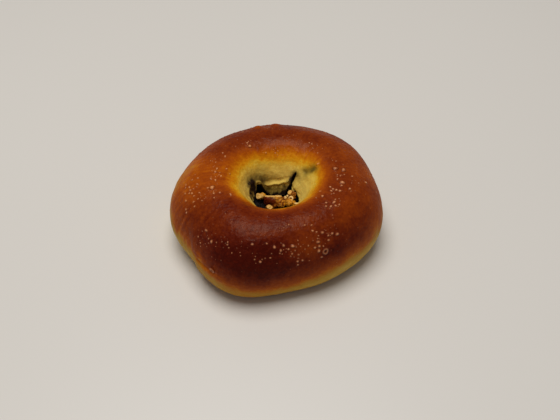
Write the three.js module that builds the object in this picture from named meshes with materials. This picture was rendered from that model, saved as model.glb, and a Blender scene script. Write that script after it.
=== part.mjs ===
// Walnut red bean bun: a round, glazed bread bun whose middle is pressed down into a dimple.
// The dough is torn open at the foot of the dimple, so the bean paste inside shows there,
// with broken walnut pieces lying on it. Millimetres, +Z up, origin under the middle of the bun.
import * as THREE from "three";

// ---------------------------------------------------------------- driving sizes
const BUN_WIDTH = 95; // along X, the widest way across
const BUN_HEIGHT = 37.2; // table to the highest point of the ridge
const RIDGE_DROP = 0.5; // how much lower the ridge is at its lowest
const EQUATOR_Z = 14.8; // height at which the bun is widest
const FOOT_SHARE = 0.8; // flat foot's radius over the outline's radius
const RIDGE_SHARE = 0.56; // ridge's radius over the outline's radius
const FOOT_BEND = 0.9; // below 1 rolls the foot in sharply
const SHOULDER_BEND = 0.95;
// The plan outline is a slightly squared oval: [order, cosine, sine], as shares of the mean radius.
const OUTLINE = [
  [2, 0.0465, 0.0312],
  [3, 0.0096, -0.0009],
  [4, 0.0022, -0.0163],
  [5, -0.0109, -0.0022],
  [6, 0.0067, 0.0],
  [7, -0.0011, -0.0089],
];

// Dimple wall: a funnel from the ridge down to its foot, and a steeper part from the foot to its edge.
// Stations round it: azimuth, radius and height of the foot, radius and height of the lowest edge.
const STATIONS = [
  [0, 10.7, 21.8, 8.5, 18.6],
  [28, 9.5, 23.2, 7.4, 19.6],
  [44, 9.5, 24.4, 7.2, 19.6],
  [60, 9.6, 25.0, 6.8, 17.0],
  [85, 9.1, 23.5, 6.6, 16.2],
  [112, 9.1, 22.9, 6.6, 15.9],
  [132, 10.0, 22.9, 8.0, 18.6],
  [156, 12.1, 25.4, 10.2, 19.2],
  [180, 12.3, 25.6, 9.8, 18.9],
  [205, 12.5, 26.0, 10.6, 18.9],
  [235, 11.2, 23.0, 9.2, 18.8],
  [270, 10.3, 21.6, 8.2, 18.6],
  [330, 10.4, 21.6, 8.2, 18.6],
];
const FUNNEL_POWER = 2.15; // how late the funnel steepens
const FOOT_AT = 0.76; // share of the wall's path at which the foot comes
const WALL_END = 0.8; // share of the path at which the dough is torn off
const TEAR_THICK = 1.5; // dough at the torn edge
const CEILING_Z = 18.5; // the hollow's ceiling soon comes down to this behind a high tear
// Where the torn edge departs from WALL_END: middle and half width in degrees, change in share.
const TEARS = {
  curtain: { at: 89.5, half: 40.5, by: 0.2 }, // a curtain of dough left hanging at the back
  left: { at: 188.5, half: 41.5, by: 0.17 }, // the wall goes down to the paste at the left
  slit: { at: 45, half: 8, by: -0.18 }, // a narrow split beside the curtain
  hole: { at: 141, half: 12, by: -0.04 }, // a hole at the back left
  right: { at: 32.5, half: 8, by: 0.1 }, // a flap that hangs beside the split
};

// Bean paste and the hollow that it lies in.
const HOLLOW_R = 31;
const HOLLOW_EDGE_Z = 12.8;
const HOLLOW_FLOOR_Z = 6;
const PASTE_GAP = 0.35;
const PASTE_TOP_Z = 16.6;

// A pleat where the side is tucked in, at the front left.
const PLEAT = { at: 214, half: 4.5, depth: 1.3, z: 9 };

const AROUND = 64; // facets round the bun
const PASTE_AROUND = 40;

const rad = THREE.MathUtils.degToRad;
const deg = THREE.MathUtils.radToDeg;
const lerp = THREE.MathUtils.lerp;
const clamp = THREE.MathUtils.clamp;

// ---------------------------------------------------------------- functions of the azimuth
// Smallest signed turn from b to a, in degrees.
const turn = (a, b) => ((((a - b) % 360) + 540) % 360) - 180;
const bell = (phi, f) => Math.exp(-((turn(deg(phi), f.at) / f.half) ** 2));
const plateau = (phi, f) => Math.exp(-((turn(deg(phi), f.at) / f.half) ** 20));

const shape = (phi) =>
  OUTLINE.reduce((s, [k, c, d]) => s + c * Math.cos(k * phi) + d * Math.sin(k * phi), 1);

// The mean radius that gives BUN_WIDTH, and the shift that centres the outline.
function measureOutline() {
  let x0 = 0, x1 = 0, y0 = 0, y1 = 0;
  for (let i = 0; i < AROUND; i++) {
    const p = (2 * Math.PI * i) / AROUND, s = shape(p);
    x0 = Math.min(x0, s * Math.cos(p));
    x1 = Math.max(x1, s * Math.cos(p));
    y0 = Math.min(y0, s * Math.sin(p));
    y1 = Math.max(y1, s * Math.sin(p));
  }
  const mean = BUN_WIDTH / (x1 - x0);
  return { mean, x: (-mean * (x0 + x1)) / 2, y: (-mean * (y0 + y1)) / 2 };
}
const PLAN = measureOutline();

const ridgeHeight = (phi) => BUN_HEIGHT - (RIDGE_DROP / 2) * (1 - Math.cos(2 * phi));
const ridgeRadius = (phi) => PLAN.mean * RIDGE_SHARE * (1 + (shape(phi) - 1) * 0.8);

function tornAt(phi) {
  const t = TEARS;
  const uneven = 0.009 * Math.sin(7 * phi + 1) + 0.006 * Math.sin(13 * phi);
  return clamp(
    WALL_END +
      t.curtain.by * plateau(phi, t.curtain) +
      t.left.by * plateau(phi, t.left) +
      t.slit.by * bell(phi, t.slit) +
      t.hole.by * bell(phi, t.hole) +
      t.right.by * plateau(phi, t.right) +
      uneven,
    0.5,
    1,
  );
}

// Foot and lowest edge of the wall at an azimuth, eased from one station to the next.
function station(phi) {
  const az = ((deg(phi) % 360) + 360) % 360;
  for (let k = 0; k < STATIONS.length; k++) {
    const here = STATIONS[k], after = STATIONS[(k + 1) % STATIONS.length];
    const t = ((az - here[0] + 360) % 360) / ((after[0] - here[0] + 360) % 360);
    if (t < 1) return here.slice(1).map((v, i) => lerp(v, after[i + 1], t * t * (3 - 2 * t)));
  }
  return STATIONS[0].slice(1);
}

// A point [r, z] on the dimple's wall: s is 0 on the ridge, FOOT_AT at the foot and 1 at the lowest edge.
function wall(phi, s) {
  const rr = ridgeRadius(phi), zr = ridgeHeight(phi);
  const [rf, zf, rt, zt] = station(phi);
  if (s <= FOOT_AT) {
    const x = s / FOOT_AT;
    return [lerp(rr, rf, x), zr - (zr - zf) * x ** FUNNEL_POWER];
  }
  const x = (s - FOOT_AT) / (1 - FOOT_AT);
  return [lerp(rf, rt, x), lerp(zf, zt, x ** 0.8)];
}

// The hollow's ceiling, from under the torn edge (u = 0) out to the hollow's edge (u = 1).
function ceiling(phi, u) {
  const [r0, z0] = wall(phi, tornAt(phi));
  const a = [r0 + 0.9, z0 - TEAR_THICK];
  const b = [r0 + 8, Math.min(z0 - TEAR_THICK + 0.4, CEILING_Z)];
  const c = [HOLLOW_R, HOLLOW_EDGE_Z];
  const v = 1 - u;
  return [0, 1].map((i) => v * v * a[i] + 2 * v * u * b[i] + u * u * c[i]);
}
const hollowFloor = (r) => HOLLOW_FLOOR_Z + (HOLLOW_EDGE_Z - HOLLOW_FLOOR_Z) * (r / HOLLOW_R) ** 5;

// ---------------------------------------------------------------- one closed profile of the dough
const ROWS = { foot: 4, side: 7, shoulder: 11, funnel: 12, lip: 3, ceiling: 6, floor: 5 };

function doughProfile(phi) {
  const R = PLAN.mean * shape(phi);
  const zr = ridgeHeight(phi), rr = ridgeRadius(phi);
  const pleat = (z) => PLEAT.depth * bell(phi, PLEAT) * Math.exp(-(((z - PLEAT.z) / PLEAT.z) ** 2));
  const out = [];
  for (let j = 0; j < ROWS.foot; j++) out.push([(R * FOOT_SHARE * j) / ROWS.foot, 0]);
  for (let j = 0; j < ROWS.side; j++) {
    const a = (Math.PI / 2) * (j / ROWS.side), z = EQUATOR_Z * (1 - Math.cos(a));
    out.push([R * (FOOT_SHARE + (1 - FOOT_SHARE) * Math.sin(a) ** FOOT_BEND) - (j ? pleat(z) : 0), z]);
  }
  for (let j = 0; j < ROWS.shoulder; j++) {
    const a = (Math.PI / 2) * (j / ROWS.shoulder), z = EQUATOR_Z + (zr - EQUATOR_Z) * Math.sin(a);
    out.push([rr + (R - rr) * Math.cos(a) ** SHOULDER_BEND - pleat(z), z]);
  }
  const end = tornAt(phi);
  for (let j = 0; j <= ROWS.funnel; j++) out.push(wall(phi, (end * j) / ROWS.funnel));
  const [re, ze] = out[out.length - 1], [ru, zu] = ceiling(phi, 0);
  for (let j = 1; j < ROWS.lip; j++) {
    // The torn edge, rounded.
    const a = (Math.PI * j) / ROWS.lip;
    out.push([lerp(re, ru, (1 - Math.cos(a)) / 2) - 0.55 * Math.sin(a), lerp(ze, zu, (1 - Math.cos(a)) / 2)]);
  }
  for (let j = 0; j < ROWS.ceiling; j++) out.push(ceiling(phi, j / ROWS.ceiling));
  for (let j = 0; j <= ROWS.floor; j++) {
    const r = j === ROWS.floor ? 0 : HOLLOW_R * Math.cos((Math.PI / 2) * (j / ROWS.floor));
    out.push([r, hollowFloor(r)]);
  }
  return out;
}

// ---------------------------------------------------------------- the paste
// Its closed profile: bottom, edge, then the top, which is nearly level where the dimple opens it.
const PASTE_ROWS = { floor: 5, top: 12 };

function pasteProfile(phi) {
  const out = [];
  const edge = HOLLOW_R - 1.2;
  for (let j = 0; j <= PASTE_ROWS.floor; j++) {
    const r = edge * Math.sin((Math.PI / 2) * (j / PASTE_ROWS.floor));
    out.push([r, hollowFloor(r) + PASTE_GAP]);
  }
  const lumps = (r) =>
    0.35 * Math.sin(r * 0.9 + 2 * phi) * Math.cos(3 * phi + r * 0.5) * Math.exp(-(((r - 10.5) / 3) ** 2));
  for (let j = 0; j <= PASTE_ROWS.top; j++) {
    const r = j === PASTE_ROWS.top ? 0 : (edge - 0.5) * (1 - j / PASTE_ROWS.top);
    out.push([r, Math.min(PASTE_TOP_Z + lumps(r), underCeiling(phi, r))]);
  }
  return out;
}
// The highest that the paste may reach at radius r, below the ceiling in every direction near phi.
function underCeiling(phi, r) {
  let low = 1e9;
  for (let d = -12; d <= 12; d += 4) {
    // The torn edge itself bulges inwards a little.
    const [re, ze] = wall(phi + rad(d), tornAt(phi + rad(d)));
    if (Math.abs(r - re) < 1.4) low = Math.min(low, ze - TEAR_THICK);
    for (let i = 0; i < 60; i++) {
      const [ra, za] = ceiling(phi + rad(d), i / 60), [rb, zb] = ceiling(phi + rad(d), (i + 1) / 60);
      if (r >= ra && r <= rb) low = Math.min(low, lerp(za, zb, (r - ra) / (rb - ra)));
    }
  }
  return low - PASTE_GAP - 0.15;
}

// A lathe whose profile changes with the azimuth: each vertex of a plain lathe is put on its own profile.
function turned(profile, around) {
  const first = profile(0).map(([r, z]) => new THREE.Vector2(Math.max(r, 0), z));
  const g = new THREE.LatheGeometry(first, around);
  const at = g.getAttribute("position");
  const n = first.length;
  for (let i = 0; i <= around; i++) {
    const phi = (2 * Math.PI * (i % around)) / around;
    profile(phi).forEach(([r, z], j) => at.setXYZ(i * n + j, r * Math.cos(phi), r * Math.sin(phi), z));
  }
  return tidy(g);
}
function tidy(g) {
  g.deleteAttribute("uv");
  g.computeVertexNormals();
  return g;
}

// ---------------------------------------------------------------- walnut pieces
// A broken piece of kernel: round lobes [x, y, z, radius] run into each other, with furrows between them,
// and it is cut off flat by its broken faces [nx, ny, nz, distance]. Reach is its half size along each axis.
const LOBE_BLEND = 0.4;

function outsideKernel(p, lobes, faces) {
  const sum = lobes.reduce((s, [x, y, z, r]) => s + Math.exp((r - Math.hypot(p.x - x, p.y - y, p.z - z)) / LOBE_BLEND), 0);
  return faces.reduce(
    (d, [x, y, z, far]) => Math.max(d, (x * p.x + y * p.y + z * p.z) / Math.hypot(x, y, z) - far),
    -LOBE_BLEND * Math.log(sum),
  );
}

function kernel({ reach, lobes, faces = [], around = 20, rows = 12 }) {
  const g = new THREE.SphereGeometry(1, around, rows);
  const at = g.getAttribute("position"), d = new THREE.Vector3(), p = new THREE.Vector3();
  const outside = (t) => outsideKernel(p.copy(d).multiplyScalar(t), lobes, faces) > 0;
  for (let i = 0; i < at.count; i++) {
    // The sphere's poles are turned to +Z, and its directions spread as over an ellipsoid.
    d.set(reach[0] * at.getX(i), reach[1] * at.getZ(i), reach[2] * at.getY(i)).normalize();
    let far = Math.max(...reach) + 3;
    while (far > 0.4 && outside(far)) far -= 0.1;
    let near = far;
    far += 0.1;
    for (let k = 0; k < 10; k++) {
      const t = (near + far) / 2;
      if (outside(t)) far = t;
      else near = t;
    }
    at.setXYZ(i, d.x * near, d.y * near, d.z * near);
  }
  g.index.array.reverse(); // swapping two axes turned the faces inside out
  return tidy(g);
}

const WALNUTS = {
  // A long piece, lobed along its length, with a thin broken edge along its far side.
  walnut_large: {
    at: [1.4, -1.0, 20.4],
    reach: [6.8, 2.6, 2.6],
    around: 28,
    rows: 14,
    lobes: [
      [-5.0, 0.6, 0.8, 2.0],
      [-5.4, 0.1, -1.0, 1.5],
      [-2.8, 0.2, 0.1, 2.1],
      [-0.6, 0.6, 0.8, 1.9],
      [0.8, -1.3, 0.1, 2.1],
      [-2.1, -1.3, -1.3, 1.4],
      [2.4, 0.5, 0.1, 1.4],
      [4.2, -0.8, -0.4, 1.8],
      [6.0, -0.8, -0.9, 1.4],
    ],
    faces: [[0, 0.6, 0.8, 2.25]],
  },
  // A stubby piece that leans up at the right, broken off at its top.
  walnut_right: {
    at: [6.9, 1.5, 20.8],
    reach: [2.2, 2.2, 2.4],
    lobes: [
      [-0.6, 0.8, 1.1, 1.3],
      [0.7, 0.5, 0.6, 1.25],
      [0.6, -0.2, -0.6, 1.1],
      [-0.5, 0.3, -0.5, 1.1],
      [0.0, 0.3, -1.7, 1.2],
    ],
    faces: [[-0.55, -0.1, 0.83, 2.1]],
  },
  // A small round-lobed piece at the left, under the hole in the dough.
  walnut_left: {
    at: [-7.1, 3.1, 18.9],
    reach: [2.1, 1.6, 1.7],
    lobes: [
      [-0.9, -0.1, 0.1, 1.25],
      [0.9, 0.1, 0.2, 1.35],
      [0.1, -0.2, -0.7, 1.0],
    ],
    faces: [[-0.3, -0.6, 0.75, 1.15]],
  },
  // A small piece that stands against the front of the opening.
  walnut_front: {
    at: [-3.0, -4.1, 19.3],
    reach: [1.7, 1.3, 1.9],
    lobes: [
      [-0.5, 0.1, 0.2, 1.2],
      [0.6, -0.2, -0.1, 1.0],
      [0.0, 0.1, -1.2, 1.0],
    ],
    faces: [[0.1, -0.5, 0.86, 1.1]],
  },
};

// ---------------------------------------------------------------- materials
const finish = (name, color, roughness) =>
  Object.assign(new THREE.MeshStandardMaterial({ color, roughness, metalness: 0 }), { name });
const CRUST = finish("crust", 0x8a3f12, 0.32);
const PASTE = finish("bean_paste", 0x2a120e, 0.35);
const NUT = finish("walnut", 0xb47a36, 0.5);

// ---------------------------------------------------------------- the bun
const bun = new THREE.Group();
function add(name, geometry, material, at = [0, 0, 0]) {
  const m = new THREE.Mesh(geometry, material);
  m.name = name;
  m.position.set(...at);
  bun.add(m);
}

add("bread", turned(doughProfile, AROUND), CRUST);
add("bean_paste", turned(pasteProfile, PASTE_AROUND), PASTE);
for (const [name, piece] of Object.entries(WALNUTS)) add(name, kernel(piece), NUT, piece.at);

// The outline's middle is brought over the origin.
const part = new THREE.Group();
bun.position.set(PLAN.x, PLAN.y, 0);
part.add(bun);

export default part;
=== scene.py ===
import math

import bpy
import numpy as np
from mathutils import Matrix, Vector


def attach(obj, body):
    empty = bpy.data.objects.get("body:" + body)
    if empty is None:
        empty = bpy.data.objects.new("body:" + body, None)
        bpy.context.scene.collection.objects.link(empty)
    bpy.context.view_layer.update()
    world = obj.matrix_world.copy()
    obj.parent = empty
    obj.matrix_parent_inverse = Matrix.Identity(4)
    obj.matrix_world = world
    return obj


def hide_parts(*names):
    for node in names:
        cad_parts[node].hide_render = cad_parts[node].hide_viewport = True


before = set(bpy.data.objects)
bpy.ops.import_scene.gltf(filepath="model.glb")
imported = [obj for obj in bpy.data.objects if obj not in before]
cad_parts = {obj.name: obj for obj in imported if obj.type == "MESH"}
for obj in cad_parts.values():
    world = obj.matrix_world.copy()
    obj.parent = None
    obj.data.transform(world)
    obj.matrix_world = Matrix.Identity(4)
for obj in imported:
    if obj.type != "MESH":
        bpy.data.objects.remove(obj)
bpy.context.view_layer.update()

MM = 0.001

# ------------------------------------------------------------------ the bun's sizes, as in the CAD model (mm)
BUN_WIDTH, BUN_HEIGHT, RIDGE_DROP = 95.0, 37.2, 0.5
EQUATOR_Z, FOOT_SHARE, RIDGE_SHARE = 14.8, 0.8, 0.56
FOOT_BEND, SHOULDER_BEND = 0.9, 0.95
OUTLINE = [(2, 0.0465, 0.0312), (3, 0.0096, -0.0009), (4, 0.0022, -0.0163),
           (5, -0.0109, -0.0022), (6, 0.0067, 0.0), (7, -0.0011, -0.0089)]
# Stations round the dimple: azimuth, then radius and height of the wall's foot and of its lowest edge.
STATIONS = [
    (0, 10.7, 21.8, 8.5, 18.6), (28, 9.5, 23.2, 7.4, 19.6), (44, 9.5, 24.4, 7.2, 19.6), (60, 9.6, 25.0, 6.8, 17.0),
    (85, 9.1, 23.5, 6.6, 16.2), (112, 9.1, 22.9, 6.6, 15.9), (132, 10.0, 22.9, 8.0, 18.6), (156, 12.1, 25.4, 10.2, 19.2),
    (180, 12.3, 25.6, 9.8, 18.9), (205, 12.5, 26.0, 10.6, 18.9), (235, 11.2, 23.0, 9.2, 18.8), (270, 10.3, 21.6, 8.2, 18.6),
    (330, 10.4, 21.6, 8.2, 18.6),
]
FUNNEL_POWER = 2.15
FOOT_AT, WALL_END, TEAR_THICK, CEILING_Z = 0.76, 0.8, 1.5, 18.5
TEARS = dict(curtain=(89.5, 40.5, 0.2), left=(188.5, 41.5, 0.17), slit=(45, 8, -0.18), hole=(141, 12, -0.04),
             right=(32.5, 8, 0.1))
HOLLOW_R, HOLLOW_EDGE_Z, HOLLOW_FLOOR_Z = 31.0, 12.8, 6.0
PASTE_GAP, PASTE_TOP_Z = 0.35, 16.6
PLEAT = dict(at=214, half=4.5, depth=1.3, z=9)


# ------------------------------------------------------------------ small helpers
def lerp(a, b, x):
    return a + (b - a) * x


def smooth(e0, e1, x):
    t = np.clip((x - e0) / (e1 - e0), 0, 1)
    return t * t * (3 - 2 * t)


def turn(a, b):
    return (a - b + 180.0) % 360.0 - 180.0


def bell(phi, at, half):
    return np.exp(-(turn(np.degrees(phi), at) / half) ** 2)


def plateau(phi, at, half, power=20):
    return np.exp(-(turn(np.degrees(phi), at) / half) ** power)


def gradient_noise(seed):
    """A smooth 3-D noise of about -1..1, the same on every run."""
    g = np.random.default_rng(seed)
    perm = g.permutation(256)
    perm = np.concatenate([perm, perm])
    grad = g.normal(size=(256, 3))
    grad /= np.linalg.norm(grad, axis=1, keepdims=True)

    def noise(p):
        i = np.floor(p).astype(np.int64)
        f = p - i
        i &= 255
        u = f * f * f * (f * (f * 6 - 15) + 10)
        total = np.zeros(p.shape[:-1])
        for dx in (0, 1):
            for dy in (0, 1):
                for dz in (0, 1):
                    h = perm[(perm[(perm[(i[..., 0] + dx) & 255] + i[..., 1] + dy) & 255] + i[..., 2] + dz) & 255]
                    d = f - np.array([dx, dy, dz])
                    w = ((u[..., 0] if dx else 1 - u[..., 0]) * (u[..., 1] if dy else 1 - u[..., 1])
                         * (u[..., 2] if dz else 1 - u[..., 2]))
                    total += w * (grad[h] * d).sum(-1)
        return total * 1.7
    return noise


def fbm(noise, p, octaves=4, gain=0.5):
    total, amp = 0.0, 1.0
    for k in range(octaves):
        total = total + amp * noise(p * 2.0 ** k + 17.3 * k)
        amp *= gain
    return total


N1, N2, N3, N4 = (gradient_noise(s) for s in (11, 23, 37, 53))


# ------------------------------------------------------------------ functions of the azimuth
def shape(phi):
    return 1 + sum(c * np.cos(k * phi) + d * np.sin(k * phi) for k, c, d in OUTLINE)


_p = 2 * np.pi * np.arange(64) / 64
_x, _y = shape(_p) * np.cos(_p), shape(_p) * np.sin(_p)
MEAN = BUN_WIDTH / (_x.max() - _x.min())
SHIFT = np.array([-MEAN * (_x.max() + _x.min()) / 2, -MEAN * (_y.max() + _y.min()) / 2, 0.0])


def ridge_height(phi):
    return BUN_HEIGHT - (RIDGE_DROP / 2) * (1 - np.cos(2 * phi))


def ridge_radius(phi):
    return MEAN * RIDGE_SHARE * (1 + (shape(phi) - 1) * 0.8)


def torn_at(phi):
    uneven = 0.009 * np.sin(7 * phi + 1) + 0.006 * np.sin(13 * phi)
    t = TEARS
    s = (WALL_END + t["curtain"][2] * plateau(phi, *t["curtain"][:2]) + t["left"][2] * plateau(phi, *t["left"][:2])
         + t["slit"][2] * bell(phi, *t["slit"][:2]) + t["hole"][2] * bell(phi, *t["hole"][:2])
         + t["right"][2] * plateau(phi, *t["right"][:2]) + uneven)
    return np.clip(s, 0.5, 1)


def station(phi):
    """Foot radius and height, edge radius and height, eased from one station to the next."""
    az = np.degrees(phi) % 360
    out = np.zeros((4,) + np.shape(az))
    for k, here in enumerate(STATIONS):
        after = STATIONS[(k + 1) % len(STATIONS)]
        span = (after[0] - here[0]) % 360
        t = ((az - here[0]) % 360) / span
        inside = t < 1
        ease = t * t * (3 - 2 * t)
        for i in range(4):
            out[i] = np.where(inside, lerp(here[i + 1], after[i + 1], ease), out[i])
    return out


def wall(phi, s):
    rr, zr = ridge_radius(phi), ridge_height(phi)
    rf, zf, rt, zt = station(phi)
    x = np.clip(s / FOOT_AT, 0, 1)
    y = np.clip((s - FOOT_AT) / (1 - FOOT_AT), 0, 1)
    r = np.where(s <= FOOT_AT, lerp(rr, rf, x), lerp(rf, rt, y))
    z = np.where(s <= FOOT_AT, zr - (zr - zf) * x ** FUNNEL_POWER, lerp(zf, zt, y ** 0.8))
    return r, z


def ceiling(phi, u):
    r0, z0 = wall(phi, torn_at(phi))
    v = 1 - u
    ax, az = r0 + 0.9, z0 - TEAR_THICK
    bx, bz = r0 + 8, np.minimum(z0 - TEAR_THICK + 0.4, CEILING_Z)
    return v * v * ax + 2 * v * u * bx + u * u * HOLLOW_R, v * v * az + 2 * v * u * bz + u * u * HOLLOW_EDGE_Z


def hollow_floor(r):
    return HOLLOW_FLOOR_Z + (HOLLOW_EDGE_Z - HOLLOW_FLOOR_Z) * (r / HOLLOW_R) ** 5


# ------------------------------------------------------------------ meshes
def normals_of(P):
    """Normals of a grid of points (rows, around, 3) that closes on itself round the axis."""
    du = np.roll(P, -1, 1) - np.roll(P, 1, 1)
    dv = np.empty_like(P)
    dv[1:-1] = P[2:] - P[:-2]
    dv[0], dv[-1] = P[1] - P[0], P[-1] - P[-2]
    n = np.cross(du, dv)
    length = np.linalg.norm(n, axis=-1, keepdims=True)
    return n / np.maximum(length, 1e-12)


def turned_mesh(name, P, attrs=None, v_of_row=None):
    """A closed mesh from a grid whose first and last rows are single points on the axis. P is in mm."""
    rows, n = P.shape[:2]
    body = P[1:-1].reshape(-1, 3)
    verts = np.vstack([P[0, 0], body, P[-1, 0]]) * MM
    j, i = np.meshgrid(np.arange(rows - 3), np.arange(n), indexing="ij")
    k = (i + 1) % n
    a, b = 1 + j * n + i, 1 + j * n + k
    c, d = 1 + (j + 1) * n + k, 1 + (j + 1) * n + i
    quads = np.stack([a, b, c, d], -1).reshape(-1, 4)
    ii = np.arange(n)
    kk = (ii + 1) % n
    last = len(verts) - 1
    base = 1 + (rows - 3) * n
    fan0 = np.stack([np.zeros(n, int), 1 + kk, 1 + ii], -1)
    fan1 = np.stack([np.full(n, last), base + ii, base + kk], -1)
    me = bpy.data.meshes.new(name)
    me.from_pydata(verts.tolist(), [], quads.tolist() + fan0.tolist() + fan1.tolist())
    v = np.linspace(0, 1, rows) if v_of_row is None else v_of_row
    jj, uu = j.reshape(-1), i.reshape(-1)
    quv = np.stack([
        np.stack([uu / n, v[jj + 1]], -1), np.stack([(uu + 1) / n, v[jj + 1]], -1),
        np.stack([(uu + 1) / n, v[jj + 2]], -1), np.stack([uu / n, v[jj + 2]], -1)], 1).reshape(-1, 2)
    f0 = np.stack([
        np.stack([(ii + 0.5) / n, np.full(n, v[0])], -1), np.stack([(ii + 1) / n, np.full(n, v[1])], -1),
        np.stack([ii / n, np.full(n, v[1])], -1)], 1).reshape(-1, 2)
    f1 = np.stack([
        np.stack([(ii + 0.5) / n, np.full(n, v[-1])], -1), np.stack([ii / n, np.full(n, v[-2])], -1),
        np.stack([(ii + 1) / n, np.full(n, v[-2])], -1)], 1).reshape(-1, 2)
    uv = me.uv_layers.new(name="OFBake")
    uv.data.foreach_set("uv", np.vstack([quv, f0, f1]).astype(np.float32).ravel())
    for key, val in (attrs or {}).items():
        at = me.attributes.new(key, "FLOAT", "POINT")
        flat = np.concatenate([[val[0].mean()], val[1:-1].ravel(), [val[-1].mean()]])
        at.data.foreach_set("value", flat.astype(np.float32))
    return finish_mesh(name, me)


def finish_mesh(name, me):
    me.polygons.foreach_set("use_smooth", [True] * len(me.polygons))
    me.validate()
    me.update()
    ob = bpy.data.objects.new(name, me)
    bpy.context.scene.collection.objects.link(ob)
    return ob


def joined_mesh(name, parts, attrs=None):
    """One mesh from (verts in mm, faces) pairs."""
    verts, faces, start = [], [], 0
    for v, f in parts:
        verts.append(v)
        faces += (np.asarray(f) + start).tolist() if not isinstance(f, list) else [[x + start for x in q] for q in f]
        start += len(v)
    me = bpy.data.meshes.new(name)
    me.from_pydata((np.vstack(verts) * MM).tolist(), [], faces)
    for key, val in (attrs or {}).items():
        at = me.attributes.new(key, "FLOAT", "POINT")
        at.data.foreach_set("value", np.asarray(val, np.float32))
    return finish_mesh(name, me)


# ------------------------------------------------------------------ the bread
AROUND = 420
ROWS = dict(foot=12, side=26, shoulder=72, funnel=84, lip=8, ceiling=8, floor=6)


def bread_rows(phi):
    """Rows of (r, z) and of a zone number: 0 foot, 1 side, 2 shoulder, 3 dimple wall, 4 torn edge, 5 inside."""
    R = MEAN * shape(phi)
    zr, rr = ridge_height(phi), ridge_radius(phi)
    one = np.ones_like(phi)
    out = []
    for j in range(ROWS["foot"]):
        x = j / ROWS["foot"]
        out.append((R * FOOT_SHARE * (1 - (1 - x) ** 1.5), 0 * one, x))
    for j in range(ROWS["side"]):
        x = (j / ROWS["side"]) ** 1.15
        a = np.pi / 2 * x
        z = EQUATOR_Z * (1 - math.cos(a))
        out.append((R * (FOOT_SHARE + (1 - FOOT_SHARE) * math.sin(a) ** FOOT_BEND), z * one, 1 + x))
    for j in range(ROWS["shoulder"]):
        x = j / ROWS["shoulder"]
        a = np.pi / 2 * x
        out.append((rr + (R - rr) * math.cos(a) ** SHOULDER_BEND, EQUATOR_Z + (zr - EQUATOR_Z) * math.sin(a), 2 + x))
    end = torn_at(phi)
    for j in range(ROWS["funnel"] + 1):
        x = 1 - (1 - j / ROWS["funnel"]) ** 1.3
        r, z = wall(phi, end * x)
        out.append((r, z, 3 + 0.999 * x))
    re, ze = out[-1][:2]
    ru, zu = ceiling(phi, 0.0)
    for j in range(1, ROWS["lip"]):
        a = np.pi * j / ROWS["lip"]
        c = (1 - math.cos(a)) / 2
        out.append((lerp(re, ru, c) - 0.55 * math.sin(a), lerp(ze, zu, c), 4 + j / ROWS["lip"]))
    for j in range(ROWS["ceiling"]):
        r, z = ceiling(phi, j / ROWS["ceiling"])
        out.append((r, z, 5 + 0.5 * j / ROWS["ceiling"]))
    for j in range(ROWS["floor"] + 1):
        r = 0.0 if j == ROWS["floor"] else HOLLOW_R * math.cos(np.pi / 2 * j / ROWS["floor"])
        out.append((r * one, hollow_floor(r) * one, 5.5 + 0.5 * j / ROWS["floor"]))
    return out


def bread_grid():
    phi = 2 * np.pi * np.arange(AROUND) / AROUND
    rows = bread_rows(phi)
    r = np.array([a[0] for a in rows])
    z = np.array([a[1] for a in rows])
    zone = np.array([a[2] for a in rows])
    P = np.stack([r * np.cos(phi), r * np.sin(phi), z], -1)
    return phi, zone, P


phi, ZONE, P0 = bread_grid()
N0 = normals_of(P0)
PHI = np.broadcast_to(phi, P0.shape[:2])
ZN = np.broadcast_to(ZONE[:, None], P0.shape[:2])
AZ = np.degrees(PHI) % 360
RAD = np.hypot(P0[..., 0], P0[..., 1])
HT = P0[..., 2]
END = np.broadcast_to(torn_at(phi), P0.shape[:2])
SH = np.clip((ZN - 3) / 0.999, 0, 1) * END          # share of the way down the dimple's wall


def abell(at, half, power=2):
    return np.exp(-np.abs(turn(AZ, at) / half) ** power)


def spot(at, r, z, size):
    """1 at a place given by azimuth, radius and height, falling off over size (mm)."""
    c = np.array([r * math.cos(math.radians(at)), r * math.sin(math.radians(at)), z])
    return np.exp(-((P0 - c) ** 2).sum(-1) / size ** 2)


def line(a, b, width):
    """1 on the straight line from a to b (mm), falling off over width, and 0 past its ends."""
    a, b = np.array(a, float), np.array(b, float)
    t = np.clip(((P0 - a) @ (b - a)) / ((b - a) @ (b - a)), 0, 1)
    away = np.linalg.norm(P0 - (a + t[..., None] * (b - a)), axis=-1)
    return np.exp(-(away / width) ** 2)


crust = smooth(0.9, 1.15, ZN) * (1 - smooth(3.2, 3.5, ZN))
dimple = smooth(3.1, 3.5, ZN) * (1 - smooth(3.99, 4.0, ZN))
torn = smooth(3.96, 4.05, ZN) * (1 - smooth(4.9, 5.05, ZN))
inner = (ZN > 3) * 1.0
back = abell(87, 38, 8)                  # where the ledge and the curtain are
left = abell(186, 38, 8)                 # where the wall goes straight down to the paste

# slow unevenness of a hand-shaped bun, small lumps, and the fine skin of the crust
d = 0.22 * N1(P0 / 21.0) * crust
d += 0.10 * fbm(N2, P0 / 7.0, 3) * crust
d += 0.035 * fbm(N3, P0 / 2.3, 2) * crust

# the tuck at the front left: a groove that leans with height, the left lobe set in behind it
tuck_az = 209.5 + 0.75 * np.clip(29 - HT, 0, 12.5) - 0.25 * np.clip(14 - HT, 0, 14)
off = turn(AZ, tuck_az)
tuck = smooth(31, 21, HT) * (ZN < 3) * smooth(0.5, 4.0, HT)
d -= tuck * (0.40 * np.exp(-(off / 2.6) ** 2) + 0.55 * smooth(1.0, -2.5, off) * smooth(-26, -6, off))
d += tuck * 0.25 * np.exp(-((off - 5.0) / 4.0) ** 2)
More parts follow.
